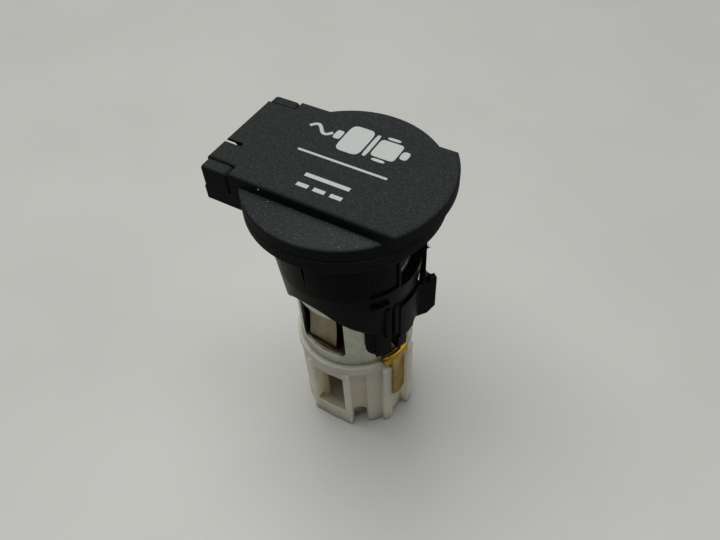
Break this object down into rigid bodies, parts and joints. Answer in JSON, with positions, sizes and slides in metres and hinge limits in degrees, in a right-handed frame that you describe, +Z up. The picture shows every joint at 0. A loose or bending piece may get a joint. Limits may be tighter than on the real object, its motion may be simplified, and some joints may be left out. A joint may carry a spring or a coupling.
{
  "type": "car 12 volt power socket",
  "caption": "Panel-mounted car 12 volt power socket with a hinged round lid, a sprung mounting sleeve, a plated plug barrel and a connector housing at its foot.",
  "frame": {"origin": "on the barrel's axis, at the foot of the connector housing", "axes": "+Z up along the barrel to the lid, +X from the hinge to the lid's finger lip, +Y to the side away from the lock window"},
  "size_m": [0.0409, 0.0358, 0.0675],
  "materials": {
    "grained_black_plastic": "fine moulded grain",
    "smooth_black_plastic": "satin moulding",
    "zinc_plated_steel": "bright zinc plate",
    "spring_steel": "plated spring strip",
    "white_nylon": "milky translucent moulding",
    "brass": "bright pressed strip",
    "plated_contact": "bright plate over brass",
    "brown_laminate": "pressed laminate sheet"
  },
  "bodies": {
    "socket": {"bezel": "grained_black_plastic", "mounting_sleeve": "smooth_black_plastic", "socket_shell": "zinc_plated_steel", "ground_spring_front": "spring_steel", "ground_spring_rear": "spring_steel", "connector_housing": "white_nylon", "ground_terminal": "brass", "positive_terminal": "brass", "contact_rivet": "brass", "centre_contact": "plated_contact", "rivet_washer": "zinc_plated_steel", "insulator_base": "brown_laminate"},
    "lid": {"lid": "grained_black_plastic"}
  },
  "joints": [
    {"name": "lid_hinge", "type": "hinge", "parent": "socket", "child": "lid", "pos_m": [-0.0187, 0, 0.0659], "axis": [0, -1, 0], "range_deg": [0, 100]}
  ]
}
